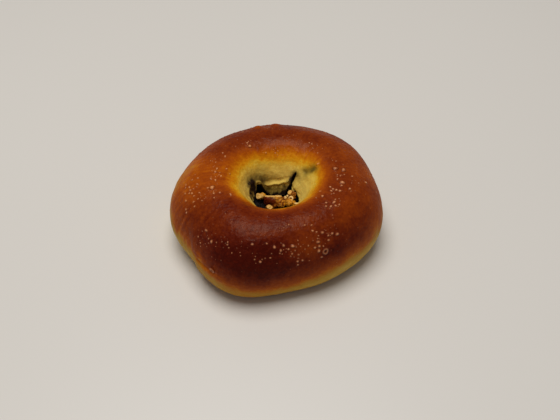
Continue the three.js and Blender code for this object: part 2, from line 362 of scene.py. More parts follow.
# fine folds where the lobe was gathered
d += tuck * 0.10 * np.sin(np.radians(AZ) * 95 + 3 * N1(P0 / 9.0)) * smooth(-24, -8, off) * smooth(1, -2, off)
# a lip of crust that curls under beside the tuck
lip_z = 16.4 + 0.08 * turn(AZ, 218)
d -= 0.45 * np.exp(-((HT - lip_z) / 0.8) ** 2) * smooth(216, 220, AZ) * smooth(243, 232, AZ) * (ZN < 3)
d += 0.25 * np.exp(-((HT - lip_z + 2.2) / 1.3) ** 2) * smooth(216, 220, AZ) * smooth(246, 234, AZ) * (ZN < 3)
# two knobs and a nick on the far shoulder
knobs = spot(105, 33.2, 34.5, 2.2) + spot(91, 33.8, 34.3, 2.5)
d += 0.75 * spot(105, 33.2, 34.5, 2.2) + 0.70 * spot(91, 33.8, 34.3, 2.5) - 0.55 * spot(98.5, 33.5, 34.4, 2.0)
d -= 0.50 * abell(64, 25, 4) * np.exp(-((ZN - 2.63) / 0.14) ** 2)

# the dimple's wall: soft creases that run round it, smaller ones down it
d += dimple * (0.20 * N2(P0 / np.array([7.0, 7.0, 2.6])) + 0.09 * fbm(N3, P0 / np.array([2.6, 2.6, 1.8]), 3))
# the ledge at the back: hollow above, a round fold on top, then the hanging curtain with its pleats
ledge_at = 0.797 + 0.008 * abell(84, 16) - 0.030 * smooth(62, 50, AZ)
d += back * (0.80 * np.exp(-((SH - ledge_at) / 0.018) ** 2) - 0.42 * np.exp(-((SH - ledge_at + 0.042) / 0.015) ** 2))
curtain = abell(89.5, 40.5, 20) * smooth(0.82, 0.87, SH)
d += curtain * (0.22 * np.sin(np.radians(AZ) * 21 + 2.0 * N1(P0 / 4.0)) + 0.15 * N3(P0 / 1.2))
# a hollow in the wall at the right, and a crease that runs from it to the split
d -= 0.80 * line((12.9, 6.9, 30.6), (16.4, 6.1, 33.6), 1.6) * inner
d -= 0.25 * line((10.4, 9.4, 28.3), (13.6, 7.2, 31.0), 1.2) * inner
# the wall swells a little beside the split
d += 1.1 * dimple * abell(28, 9) * np.exp(-((SH - 0.76) / 0.045) ** 2)
# the rim of the hole at the back left stands up a little
hole_rim = dimple * abell(141, 15, 4) * np.exp(-((SH - END + 0.016) / 0.014) ** 2)
d += 0.35 * hole_rim
# the left wall breaks over an edge before it drops
d += 0.45 * left * dimple * np.exp(-((SH - 0.755) / 0.022) ** 2)

# small folds that run along the side below the tuck
folds = abell(222, 7.5, 4) * np.exp(-((HT - 18.4) / 3.0) ** 4) * (ZN < 3)
fold_wave = np.clip(2.4 * N3(np.stack([AZ / 7.0, 0 * AZ + 5.3, (HT - 0.06 * turn(AZ, 222)) / 1.6], -1)), -1, 1)
d += 0.13 * folds * fold_wave
# two runs of egg wash down the far wall
runs = inner * np.maximum(line((-8.3, 17.9, 35.6), (-6.5, 13.6, 31.9), 0.75), line((-0.5, 18.3, 34.9), (-0.6, 14.2, 31.1), 0.65))
runs = runs * (0.55 + 0.6 * N1(P0 / 1.6)).clip(0, 1)
d += 0.16 * runs
# the front rim stands a little higher at the left
d += 0.45 * spot(248, 19.0, 34.6, 3.5) * inner

# the torn edge: coarse, open crumb
d += torn * (0.22 * fbm(N4, P0 / 1.1, 3) + 0.18 * N1(P0 / 2.3))
BREAD = P0 + N0 * d[..., None]
BREAD[:, :, 2] = np.where(ZN < 1.0, 0.0, np.maximum(BREAD[:, :, 2], 0.0))
BREAD[0] = BREAD[0].mean(0)
BREAD[-1] = BREAD[-1].mean(0)
BREAD_N = normals_of(BREAD)

# how far each place is baked: 0 is cream, 1 the darkest brown
crest = (0.77 + 0.07 * abell(262, 50) + 0.05 * abell(226, 15) + 0.04 * abell(97, 30) - 0.07 * abell(20, 38)
         - 0.20 * abell(178, 20) - 0.12 * abell(200, 11))
side = (0.78 + 0.21 * abell(255, 26) + 0.07 * abell(310, 22) - 0.13 * abell(17, 34) - 0.37 * abell(173, 19)
        - 0.09 * abell(198, 9) - 0.10 * abell(132, 22))
level = lerp(side, crest, smooth(2.50, 2.90, ZN))
level -= 0.10 * abell(291, 8) * np.exp(-((ZN - 2.42) / 0.16) ** 2)      # a lighter streak at the front
level -= 0.07 * abell(318, 30) * np.exp(-((ZN - 2.68) / 0.11) ** 2) + 0.07 * abell(25, 26) * np.exp(-((ZN - 2.76) / 0.11) ** 2)
level += 0.06 * abell(302, 26) * np.exp(-((ZN - 2.28) / 0.09) ** 2)
middle = 18.5 - 5.0 * abell(272, 32) + 0.6 * abell(216, 13) + 0.9 * N1(P0 / 7.0) + 1.9 * N2(P0 / 17.0) * abell(95, 78, 6)
low = 0.27 - 0.10 * abell(318, 42) - 0.11 * abell(188, 24)
rise = low + (1 - low) * smooth(middle - 7.5, middle + 8.5, HT)
level = np.where(ZN < 3, level * rise, level)
# it pales down the dimple's wall, sooner at some sides than at others
pale_at = (0.54 + 0.14 * abell(88, 34) + 0.06 * abell(52, 16) + 0.28 * abell(243, 19) - 0.08 * abell(278, 12) - 0.06 * abell(10, 16)
           + 0.05 * abell(205, 14) + 0.10 * abell(166, 22) + 0.11 * abell(183, 11) + 0.05 * abell(300, 14) + 0.05 * abell(232, 9)
           + 0.06 * abell(262, 9) + 0.05 * abell(316, 10) + 0.09 * abell(340, 13) + 0.03 * N1(P0 / 5.0))
level = np.where(ZN >= 3, level * (1 - smooth(0.03, 1.10, SH / pale_at)), level)
# painted light: the dimple's right wall, where most light falls, alone may go to the palest cream
level = np.where(ZN >= 3, np.maximum(level, 0.075 * (1 - abell(358, 44, 4))), level)
level += 0.09 * abell(253, 24) * np.exp(-((ZN - 2.42) / 0.11) ** 2) + 0.05 * abell(198, 12) * np.exp(-((ZN - 2.45) / 0.08) ** 2)
level += 0.05 * abell(302, 12) * np.exp(-((ZN - 2.32) / 0.08) ** 2) - 0.09 * abell(343, 12) * np.exp(-((ZN - 2.25) / 0.12) ** 2)
# the second term is a painted sheen: the front crest is made paler where the lamp's reflection falls
level -= 0.12 * abell(6, 14) * np.exp(-((ZN - 2.46) / 0.12) ** 2) + 0.08 * abell(264, 14) * np.exp(-((ZN - 2.74) / 0.07) ** 2)
level += 0.07 * abell(181, 9) * np.exp(-((ZN - 3.24) / 0.09) ** 2) + 0.05 * abell(202, 12) * np.exp(-((ZN - 2.74) / 0.09) ** 2)
level += 0.06 * abell(120, 9) * np.exp(-((ZN - 3.11) / 0.07) ** 2) + 0.04 * abell(301, 10) * np.exp(-((ZN - 2.98) / 0.10) ** 2)
level -= 0.05 * abell(220, 9) * np.exp(-((ZN - 3.11) / 0.06) ** 2) + 0.04 * abell(200, 9) * np.exp(-((ZN - 3.32) / 0.07) ** 2)
level -= 0.06 * abell(160, 12) * np.exp(-((ZN - 3.15) / 0.10) ** 2) + 0.04 * abell(132, 13) * np.exp(-((ZN - 3.24) / 0.06) ** 2)
level += 0.04 * abell(238, 24) * np.exp(-((ZN - 3.32) / 0.06) ** 2)
level += 0.16 * runs + 0.08 * inner * spot(115, 19.7, 35.6, 2.4) - 0.26 * knobs
level -= 0.10 * abell(358, 20) * np.exp(-((ZN - 2.23) / 0.14) ** 2) + 0.05 * abell(176, 20) * (ZN < 3.2)
# painted highlight and shade: the folds' ridges are made paler and their grooves darker
level += folds * (0.06 * smooth(0.0, 1.0, -fold_wave) - 0.15 * smooth(0.0, 1.0, fold_wave))
tray = 0.20 * smooth(4.0, 0.2, HT) * (ZN < 2) * (0.8 + 0.5 * N1(P0 / 6.0))     # the tray browned its lowest edge
level += tray
# painted highlight: the crest of the ledge is made paler
level -= 0.055 * back * np.exp(-((SH - ledge_at) / 0.022) ** 2)
blotch = 0.05 * fbm(N1, P0 / 10.0, 3) + 0.035 * fbm(N2, P0 / 3.0, 3)
streaks = 0.055 * N3(np.stack([PHI * 26, PHI * 0 + RAD / 14.0, HT / 9.0], -1)) * (0.5 + 0.7 * abell(190, 40))
streaks += 0.10 * N4(np.stack([PHI * 42, PHI * 0 + RAD / 16.0, HT / 13.0], -1)) * abell(200, 12) * smooth(2.75, 2.45, ZN) * (ZN < 3)
level = level + (blotch + streaks) * smooth(0.05, 0.35, level)
level = np.where(ZN >= 3.98, 0.0, level)
under = 0.56 + 0.07 * fbm(N1, P0 / 9.0, 3) - 0.14 * smooth(0.80, 1.0, ZN)
level = np.where(ZN < 1.0, under, level)
bake = np.clip(level, 0, 1)
# egg wash was brushed on the top and sides, and not on the underside or down in the dimple
wash = np.where(ZN < 1, 0.0, np.where(ZN < 3, smooth(0.24, 0.46, level - tray), smooth(0.72, 0.46, SH)))
# damp, translucent dough near the paste, and painted shade: darker down the wall towards the hole and in the hollow at
# the right
damp_and_shade = inner * (smooth(0.50, 0.74, SH) * (0.12 + 0.45 * abell(128, 26)) + curtain * 0.20)
# painted shade in the hollow in the wall at the right, and spread round it
hollow_shade = line((13.2, 6.9, 30.8), (15.9, 6.3, 33.1), 1.6) * inner
damp_and_shade += 0.45 * line((11.8, 7.2, 29.4), (16.6, 6.0, 33.6), 2.6) * inner
damp_and_shade += 0.6 * inner * spot(42, 12.0, 28.2, 1.7)
damp_and_shade += inner * (0.32 * spot(150, 14.0, 28.8, 2.2) + 0.20 * spot(124, 14.2, 30.4, 1.6) + 0.20 * spot(32, 10.0, 25.4, 2.2))
damp_and_shade -= 0.25 * inner * abell(84, 24) * np.exp(-((SH - 0.62) / 0.09) ** 2)
# painted highlight: the darkening is taken off the ledge's crest
damp_and_shade = np.clip(0.52 * hollow_shade + damp_and_shade * (1 + 0.8 * N2(P0 / 2.6)) - 0.5 * back * np.exp(-((SH - ledge_at) / 0.02) ** 2), 0, 1)
# dough smeared with paste, low on the curtain and its right side; painted shade down the left wall, round the hole, in
# the split and inside under the dough
paste_smear_and_shade = smooth(0.90, 0.99, SH) * curtain + 0.75 * curtain * smooth(80, 61, AZ) * smooth(0.80, 0.86, SH)
# painted shade: the left wall is darkened where it drops to the paste; the torn edge is darkened by paste and by
# painted shade
paste_smear_and_shade += left * smooth(0.755, 0.82, SH) * 0.72 + torn * (0.6 - 0.45 * abell(141, 15, 4))
# painted shade on the upper left wall towards the hole
paste_smear_and_shade += inner * (0.42 * line((-11.8, 4.2, 26.4), (-8.0, 8.6, 26.2), 2.3) + 0.40 * spot(122, 9.8, 23.9, 1.8)
                 + 0.35 * line((-12.2, 3.4, 26.6), (-12.2, -3.2, 26.6), 1.2))
# painted highlight: the raised rim of the hole is kept pale
paste_smear_and_shade -= 0.7 * hole_rim
# the split darkened: paste in it, and painted shade
paste_smear_and_shade += inner * (0.9 * line((8.5, 8.4, 27.8), (7.0, 7.5, 25.2), 0.95) + 0.9 * spot(46.5, 9.7, 24.9, 1.1))
# painted shade on the wall beside the hole
paste_smear_and_shade += 0.55 * inner * abell(152, 9) * smooth(0.66, 0.75, SH) + 0.35 * inner * abell(129, 10) * smooth(0.66, 0.72, SH)
# painted shade beside the hole and down the left side of the split
paste_smear_and_shade += inner * (0.65 * line((-10.2, 5.0, 23.2), (-9.8, 4.4, 20.5), 1.1) + 0.22 * line((-11.0, 5.8, 26.2), (-11.6, 2.6, 25.4), 1.4)
                 + 0.45 * line((7.6, 9.2, 28.0), (5.4, 7.7, 23.8), 0.9))
# painted shade: the underside of the torn lip, the ceiling and the floor of the hollow made near black
paste_smear_and_shade += smooth(4.5, 5.0, ZN)
paste_smear_and_shade = np.clip(paste_smear_and_shade * (1 + 0.6 * N3(P0 / np.array([1.2, 1.2, 3.0]))), 0, 1)

# the wash lies thinner down the sides and in the tuck, and shines less there
thin = 2.80 + 0.16 * abell(75, 75, 4)
matt = np.where(ZN < 3, np.maximum(smooth(thin, thin - 0.40, ZN), tuck * np.exp(-(off / 7.0) ** 2)), 0.0)

V_STOPS = np.interp(ZONE, [0, 1, 2, 3, 4, 5, 6], [0.0, 0.12, 0.30, 0.66, 0.90, 0.96, 1.0])
bread = turned_mesh("bread_crust", BREAD + SHIFT, dict(bake=bake, wash=wash, damp_and_shade=damp_and_shade, paste_smear_and_shade=paste_smear_and_shade, matt=matt), V_STOPS)


def on_crust(az, zone):
    """Place (mm), normal and baking at fractional grid coordinates, for arrays of azimuths and zones."""
    i = (np.asarray(az) % 360) / 360 * AROUND
    j = np.interp(zone, ZONE, np.arange(len(ZONE)))
    i0, j0 = np.floor(i).astype(int), np.floor(j).astype(int)
    fi, fj = (i - i0)[..., None], (j - j0)[..., None]
    i0, i1, j1 = i0 % AROUND, (i0 + 1) % AROUND, np.minimum(j0 + 1, len(ZONE) - 1)

    def pick(A):
        return lerp(lerp(A[j0, i0], A[j0, i1], fi), lerp(A[j1, i0], A[j1, i1], fi), fj)
    n = pick(BREAD_N)
    return pick(BREAD), n / np.linalg.norm(n, axis=-1, keepdims=True), pick(bake[..., None])[..., 0]


# ------------------------------------------------------------------ materials
def linear(r, g, b):
    f = lambda c: c / 12.92 if c <= 0.04045 else ((c + 0.055) / 1.055) ** 2.4
    return tuple(f(c / 255.0) for c in (r, g, b)) + (1.0,)


class Nodes:
    def __init__(self, name):
        self.mat = bpy.data.materials.new(name)
        self.mat.use_nodes = True
        self.t = self.mat.node_tree
        self.bsdf = self.t.nodes["Principled BSDF"]
        self.out = self.t.nodes["Material Output"]

    def new(self, kind, **props):
        n = self.t.nodes.new(kind)
        for k, v in props.items():
            setattr(n, k, v)
        return n

    def link(self, a, b):
        self.t.links.new(a, b)

    def set(self, **values):
        for k, v in values.items():
            self.bsdf.inputs[k.replace("_", " ")].default_value = v

    def attribute(self, name):
        return self.new("ShaderNodeAttribute", attribute_name=name, attribute_type="GEOMETRY").outputs["Fac"]

    def coords(self):
        return self.new("ShaderNodeTexCoord").outputs["Object"]

    def noise(self, scale, detail=4.0, rough=0.5, distortion=0.0):
        n = self.new("ShaderNodeTexNoise")
        n.inputs["Scale"].default_value = scale
        n.inputs["Detail"].default_value = detail
        n.inputs["Roughness"].default_value = rough
        n.inputs["Distortion"].default_value = distortion
        self.link(self.coords(), n.inputs["Vector"])
        return n.outputs["Fac"]

    def voronoi(self, scale, feature="F1", randomness=1.0):
        n = self.new("ShaderNodeTexVoronoi", feature=feature)
        n.inputs["Scale"].default_value = scale
        n.inputs["Randomness"].default_value = randomness
        self.link(self.coords(), n.inputs["Vector"])
        return n.outputs["Distance"]

    def math(self, op, a, b=None, clamp=False):
        n = self.new("ShaderNodeMath", operation=op, use_clamp=clamp)
        for i, v in enumerate((a, b)):
            if v is None:
                continue
            if isinstance(v, (int, float)):
                n.inputs[i].default_value = v
            else:
                self.link(v, n.inputs[i])
        return n.outputs[0]

    def range(self, v, a, b, c, d):
        n = self.new("ShaderNodeMapRange")
        self.link(v, n.inputs["Value"])
        for k, x in zip(("From Min", "From Max", "To Min", "To Max"), (a, b, c, d)):
            n.inputs[k].default_value = x
        return n.outputs["Result"]

    def ramp(self, v, stops):
        n = self.new("ShaderNodeValToRGB")
        e = n.color_ramp.elements
        while len(e) > 1:
            e.remove(e[-1])
        e[0].position, e[0].color = stops[0]
        for pos, col in stops[1:]:
            x = e.new(pos)
            x.color = col
        self.link(v, n.inputs["Fac"])
        return n.outputs["Color"]

    def mix(self, fac, a, b, blend="MIX"):
        n = self.new("ShaderNodeMix", data_type="RGBA", blend_type=blend)
        for sock, v in ((n.inputs[0], fac), (n.inputs[6], a), (n.inputs[7], b)):
            if isinstance(v, (int, float)) or isinstance(v, tuple):
                sock.default_value = v
            else:
                self.link(v, sock)
        return n.outputs[2]

    def bump(self, height, strength, distance, normal=None):
        n = self.new("ShaderNodeBump")
        n.inputs["Strength"].default_value = strength
        n.inputs["Distance"].default_value = distance
        self.link(height, n.inputs["Height"])
        if normal is not None:
            self.link(normal, n.inputs["Normal"])
        return n.outputs["Normal"]


WASHED = [(0.00, (0.78, 0.52, 0.075, 1)), (0.10, (0.72, 0.40, 0.022, 1)), (0.20, (0.66, 0.26, 0.005, 1)),
          (0.30, (0.58, 0.18, 0.003, 1)), (0.40, (0.47, 0.115, 0.002, 1)), (0.50, (0.37, 0.070, 0.002, 1)),
          (0.60, (0.29, 0.049, 0.0027, 1)), (0.70, (0.22, 0.032, 0.0025, 1)), (0.80, (0.16, 0.0195, 0.0024, 1)),
          (0.90, (0.105, 0.0085, 0.0016, 1)), (1.00, (0.060, 0.0034, 0.0010, 1))]
UNWASHED = [(0.00, (0.84, 0.62, 0.135, 1)), (0.08, (0.65, 0.43, 0.084, 1)), (0.20, (0.51, 0.28, 0.034, 1)), (0.30, (0.46, 0.21, 0.018, 1)),
            (0.50, (0.38, 0.115, 0.007, 1)), (0.75, (0.24, 0.050, 0.004, 1)), (1.00, (0.12, 0.02, 0.002, 1))]


def crust_colour(m, b, w, damp_and_shade, paste_smear_and_shade):
    fine = m.math("MULTIPLY", m.range(m.noise(900.0, 5.0, 0.6), 0.3, 0.7, -0.065, 0.06), m.range(w, 0.0, 1.0, 0.35, 1.0))
    mid = m.range(m.noise(240.0, 4.0, 0.55), 0.3, 0.7, -0.03, 0.03)
    level = m.math("ADD", m.math("ADD", b, fine), mid, clamp=True)
    c = m.mix(w, m.ramp(level, UNWASHED), m.ramp(level, WASHED))
    # dark olive: damp dough near the paste, and painted shade near the hole and in the hollow at the right
    c = m.mix(damp_and_shade, c, (0.15, 0.095, 0.014, 1))
    # near black: paste smeared on the dough, and painted shade
    return m.mix(paste_smear_and_shade, c, (0.022, 0.011, 0.008, 1))


def crust_material():
    m = Nodes("crust")
    b, w = m.attribute("bake"), m.attribute("wash")
    m.link(crust_colour(m, b, w, m.attribute("damp_and_shade"), m.attribute("paste_smear_and_shade")), m.bsdf.inputs["Base Color"])
    rough = m.range(m.noise(420.0, 4.0, 0.6), 0.3, 0.7, 0.25, 0.34)
    dull = m.math("MAXIMUM", m.range(w, 0.0, 1.0, 0.32, 0.0), m.math("MULTIPLY", m.attribute("matt"), 0.26))
    m.link(m.math("ADD", rough, dull, clamp=True), m.bsdf.inputs["Roughness"])
    n1 = m.bump(m.noise(1500.0, 3.0, 0.5), 0.25, 0.0002)
    n2 = m.bump(m.noise(560.0, 2.0, 0.5), 0.60, 0.0005, n1)
    m.link(n2, m.bsdf.inputs["Normal"])
    m.set(Specular_IOR_Level=0.085, Specular_Tint=(1.0, 0.80, 0.62, 1))
    return m.mat


CRUST = crust_material()
bread.data.materials.append(CRUST)
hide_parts("bread")
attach(bread, "root")


# ------------------------------------------------------------------ blisters under the egg wash
# Clusters on the crust: azimuth, zone, their spreads, how many, smallest and largest radius (mm).
CLUSTERS = [
    (303, 2.57, 5.5, 0.055, 26, 0.18, 0.42), (298, 2.43, 4.5, 0.065, 20, 0.18, 0.42), (280, 2.48, 4.5, 0.050, 14, 0.18, 0.40),
    (283, 2.36, 3.5, 0.060, 7, 0.22, 0.40), (276, 2.80, 3.5, 0.025, 8, 0.24, 0.44), (262, 2.46, 8.0, 0.050, 10, 0.22, 0.42),
    (231, 2.47, 3.5, 0.040, 13, 0.22, 0.46), (238, 2.56, 4.0, 0.050, 11, 0.20, 0.42), (226, 2.36, 3.0, 0.050, 8, 0.22, 0.44),
    (200, 2.62, 4.5, 0.085, 16, 0.26, 0.60), (188, 2.68, 5.5, 0.065, 20, 0.26, 0.60), (198, 2.92, 5.0, 0.050, 14, 0.26, 0.60),
    (184, 3.02, 6.0, 0.045, 11, 0.26, 0.56), (166, 3.00, 8.0, 0.070, 13, 0.24, 0.54), (338, 3.00, 4.5, 0.045, 12, 0.28, 0.58),
    (322, 2.88, 6.0, 0.035, 13, 0.24, 0.52), (0, 2.95, 6.5, 0.055, 12, 0.26, 0.58), (350, 2.76, 7.0, 0.060, 10, 0.26, 0.54),
    (92, 3.34, 8.0, 0.060, 12, 0.24, 0.46), (52, 3.14, 9.0, 0.060, 12, 0.22, 0.44), (124, 3.10, 7.0, 0.050, 12, 0.22, 0.46),
    (60, 2.62, 9.0, 0.080, 24, 0.24, 0.52), (108, 2.56, 10.0, 0.070, 27, 0.24, 0.52), (80, 2.36, 9.0, 0.070, 24, 0.24, 0.52),
    (26, 2.46, 8.0, 0.060, 20, 0.22, 0.48), (146, 2.46, 7.0, 0.060, 24, 0.22, 0.48), (4, 2.34, 8.0, 0.060, 14, 0.22, 0.46),
]
# The larger ones: azimuth, zone, radius round the bun and along its profile (mm), and 1 for one that has sunk in.
LARGE = [
    (269, 2.56, 0.60, 0.60, 0), (275, 2.56, 0.60, 0.55, 0), (281, 2.53, 0.80, 0.55, 0), (279, 2.54, 0.50, 0.40, 0),
    (284, 2.40, 0.50, 0.45, 0), (273, 2.50, 0.55, 0.60, 0), (278, 2.50, 0.45, 0.45, 0), (280, 2.43, 0.50, 0.45, 0),
    (279, 2.40, 0.35, 0.40, 0), (283, 2.31, 0.55, 0.50, 0), (283, 2.26, 0.45, 0.40, 0), (286, 2.31, 0.50, 0.50, 0),
    (293, 2.78, 0.50, 0.40, 0), (298, 2.75, 0.50, 0.40, 0), (297, 2.67, 0.50, 0.45, 0), (303, 2.60, 0.75, 0.55, 0),
    (309, 2.53, 0.65, 0.45, 0), (305, 2.61, 0.50, 0.40, 0), (312, 2.49, 0.75, 0.60, 0), (295, 2.54, 0.35, 0.35, 0),
    (298, 2.50, 0.85, 0.50, 0), (298, 2.44, 0.60, 0.50, 0), (295, 2.44, 0.55, 0.50, 0), (297, 2.38, 0.70, 0.70, 0),
    (304, 2.36, 0.75, 0.75, 0), (305, 2.47, 0.55, 0.45, 0), (298, 2.28, 0.60, 0.45, 0), (309, 2.49, 0.50, 0.50, 0),
    (306, 2.53, 0.50, 0.45, 0), (261, 2.39, 0.60, 0.50, 0), (255, 2.62, 0.60, 0.45, 0), (264, 2.62, 0.45, 0.35, 0),
    (6, 3.03, 0.65, 0.95, 0), (4, 2.92, 0.80, 0.80, 0), (349, 2.94, 0.80, 0.95, 0), (357, 2.62, 0.60, 0.65, 0),
    (358, 2.82, 0.40, 0.50, 0), (333, 3.30, 0.40, 0.70, 0), (326, 3.11, 0.60, 0.55, 0), (321, 3.21, 0.45, 0.40, 0),
    (345, 2.83, 0.50, 0.55, 0), (321, 2.94, 0.50, 0.50, 0), (318, 2.90, 0.55, 0.50, 0), (321, 2.86, 0.60, 0.45, 0),
    (326, 2.88, 0.80, 0.50, 0), (22, 3.37, 0.45, 0.70, 0), (339, 2.97, 0.55, 0.50, 0), (341, 3.12, 0.40, 0.60, 0),
    (336, 3.03, 0.40, 0.60, 0), (327, 2.81, 0.45, 0.40, 0), (197, 2.94, 0.80, 0.95, 0), (212, 3.17, 0.90, 0.40, 0),
    (183, 2.71, 0.50, 0.50, 0), (187, 2.67, 0.60, 0.40, 0), (191, 2.58, 0.50, 0.45, 0), (201, 2.64, 0.45, 0.50, 0),
    (208, 2.89, 0.50, 0.40, 0), (224, 2.54, 0.50, 0.40, 0), (229, 2.46, 0.35, 0.60, 0), (191, 3.03, 0.35, 0.40, 0),
    (176, 3.34, 0.40, 0.45, 0), (183, 2.79, 0.40, 0.50, 0), (201, 2.49, 0.50, 0.50, 0), (171, 3.24, 0.40, 0.45, 0),
    (179, 3.12, 0.35, 0.40, 0), (196, 2.89, 0.40, 0.60, 0), (301, 2.34, 1.05, 1.20, 1), (235, 2.11, 1.2, 1.0, 1),
    (230, 2.47, 0.55, 0.75, 0), (223, 2.53, 0.75, 0.50, 0), (124, 3.17, 0.70, 0.60, 0),
]
LONE_BLISTERS = 300


def blisters():
    g = np.random.default_rng(2024)
    found = [(a, z, 0.58 * (r0 + r1), r1 / r0, sunk) for a, z, r0, r1, sunk in LARGE]
    for a, z, sa, sz, n, r0, r1 in CLUSTERS:
        for _ in range(n):
            found.append((a + sa * g.normal(), z + sz * g.normal(), r0 + (r1 + 0.06 - r0) * g.random() ** 1.7,
                          0.75 + 0.5 * g.random(), 0))
    for _ in range(LONE_BLISTERS):
        found.append((360 * g.random(), 2.06 + 1.02 * g.random(), 0.15 + 0.16 * g.random() ** 2,
                      0.75 + 0.5 * g.random(), 0))
    found = np.array(found)
    found[:, 1] = np.clip(found[:, 1], 2.05, 3.5)
    place_, normal_, baked_ = on_crust(found[:, 0], found[:, 1])
    up_ = on_crust(found[:, 0], found[:, 1] + 0.01)[0] - place_
    kept = []
    for k in np.argsort(-found[:, 2]):                # the larger ones keep clear of each other
        if all(np.linalg.norm(place_[k] - place_[m]) > 1.06 * (found[k, 2] + found[m, 2]) for m in kept):
            kept.append(k)
    segs, skirt = 14, (0.18, 0.36, 0.54, 0.72, 0.87, 1.0)
    verts, faces, crown, baked, pale_and_highlight_share = [], [], [], [], []
    for k in kept:
        _, _, r, tall_to_wide, sunk = found[k]
        n, p = normal_[k], place_[k]
        b = up_[k] - n * (up_[k] @ n)
        b /= np.linalg.norm(b)
        t = np.cross(b, n)
        ra, rb = 1.35 * r / math.sqrt(tall_to_wide), 1.35 * r * math.sqrt(tall_to_wide)
        tall = (0.38 + 0.16 * g.random()) * r * (0.7 if sunk else 1.0)
        c = 2 * np.pi * np.arange(segs) / segs
        wob = 1 + 0.08 * np.sin(2 * c + 6 * g.random()) + 0.05 * np.sin(3 * c + 6 * g.random())

        def rise(x):
            return math.exp(-((x - 0.58) / 0.26) ** 2) if sunk else (1 - x * x) ** 1.6
        start = len(verts)
        verts.append(p + n * (tall * rise(0) - 0.03))
        crown.append(rise(0))
        for x in skirt:
            for q in range(segs):
                w = x * wob[q]
                verts.append(p + t * math.cos(c[q]) * ra * w + b * math.sin(c[q]) * rb * w
                             + n * (tall * rise(x) - 0.03 - 0.10 * max(0.0, x - 0.87)))
                crown.append(rise(x) if x < 0.99 else 0.0)
        verts.append(p - n * 0.2)                     # closes each dome under the crust
        crown.append(0.0)
        baked += [baked_[k]] * (len(verts) - start)
        # how much of the pale top and its painted highlight shows
        pale_and_highlight_share += [min(1.0, 0.15 + 0.55 * g.random() + 0.50 * smooth(0.3, 0.65, r)) * (0.6 if sunk else 1.0)] * (len(verts) - start)
        for q in range(segs):
            nxt = (q + 1) % segs
            faces.append([start, start + 1 + q, start + 1 + nxt])
            for i in range(len(skirt) - 1):
                a0 = start + 1 + i * segs
                faces.append([a0 + q, a0 + segs + q, a0 + segs + nxt, a0 + nxt])
            a0 = start + 1 + (len(skirt) - 1) * segs
            faces.append([a0 + q, len(verts) - 1, a0 + nxt])
    me = bpy.data.meshes.new("blisters")
    me.from_pydata(((np.array(verts) + SHIFT) * MM).tolist(), [], faces)
    for key, val in (("crown", crown), ("bake", baked), ("pale_and_highlight_share", pale_and_highlight_share)):
        at = me.attributes.new(key, "FLOAT", "POINT")
        at.data.foreach_set("value", np.asarray(val, np.float32))
    ob = finish_mesh("blisters", me)
    m = Nodes("blister")
    b, rim = m.attribute("bake"), m.attribute("crown")
    skin = m.ramp(b, WASHED)
    dark = m.mix(m.ramp(rim, [(0.0, (0, 0, 0, 1)), (0.10, (0.35, 0.35, 0.35, 1)), (0.26, (0.35, 0.35, 0.35, 1)),
                              (0.45, (0, 0, 0, 1))]), skin, (0.045, 0.008, 0.002, 1))
    # the top of each blister is paler: real paler skin
    pale = m.mix(m.range(b, 0.35, 0.85, 0.0, 1.0), (0.66, 0.240, 0.040, 1), (0.52, 0.180, 0.070, 1))
    # painted highlight at the very top of each blister
    pale = m.mix(m.range(rim, 0.68, 1.0, 0.0, 0.55), pale, (0.82, 0.43, 0.21, 1))
    shown = m.math("MULTIPLY", m.range(rim, 0.16, 1.0, 0.0, 1.0), m.attribute("pale_and_highlight_share"))
    m.link(m.mix(shown, dark, pale), m.bsdf.inputs["Base Color"])
    m.link(m.range(m.noise(600.0), 0.3, 0.7, 0.22, 0.32), m.bsdf.inputs["Roughness"])
    m.set(Specular_IOR_Level=0.15, Specular_Tint=(1.0, 0.82, 0.66, 1))
    me.materials.append(m.mat)
    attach(ob, "root")
    return ob


blisters()


# ------------------------------------------------------------------ the paste
def under_ceiling(phi, radii):
    """The highest that the paste may reach at each radius (rows) and azimuth, clear of the dough above it."""
    low = np.full((len(radii), len(phi)), 1e9)
    rad_ = np.asarray(radii)[:, None]
    for dd in np.radians(np.arange(-12, 13, 4)):
        re, ze = wall(phi + dd, torn_at(phi + dd))
        low = np.where(np.abs(rad_ - re) < 1.4, np.minimum(low, ze - TEAR_THICK), low)
        ra, za = ceiling(phi + dd, 0.0)
        for i in range(60):
            rb, zb = ceiling(phi + dd, (i + 1) / 60)
            hit = (rad_ >= ra) & (rad_ <= rb)
            low = np.where(hit, np.minimum(low, lerp(za, zb, (rad_ - ra) / np.maximum(rb - ra, 1e-9))), low)
            ra, za = rb, zb
    return low - PASTE_GAP - 0.15


def paste_mesh():
    n = 240
    phi = 2 * np.pi * np.arange(n) / n
    edge = HOLLOW_R - 1.2
    rows = []
    for j in range(9):
        r = edge * math.sin(np.pi / 2 * j / 8)
        rows.append((np.full(n, r), np.full(n, hollow_floor(r) + PASTE_GAP)))
    outer = [(edge - 0.5) * (1 - x) + 14.0 * x for x in np.linspace(0, 1, 12)]
    inner = list(np.linspace(13.8, 0.0, 70))
    roof = under_ceiling(phi, outer + inner)
    for k, r in enumerate(outer + inner):
        rows.append((np.full(n, r), np.minimum(PASTE_TOP_Z, roof[k] - 0.5)))
    r = np.array([a[0] for a in rows])
    z = np.array([a[1] for a in rows])
    P = np.stack([r * np.cos(phi), r * np.sin(phi), z], -1)
    top = np.zeros(r.shape)
    top[9:] = smooth(24, 17, r[9:])
    lump = np.abs(fbm(N3, P / np.array([2.4, 2.4, 2.4]), 4, 0.55))
    P[..., 2] += top * (0.75 - 1.2 * lump + 0.35 * N1(P / 5.0))
    P[0], P[-1] = P[0].mean(0), P[-1].mean(0)
    ob = turned_mesh("bean_filling", P + SHIFT, dict(lump=lump))
    return ob


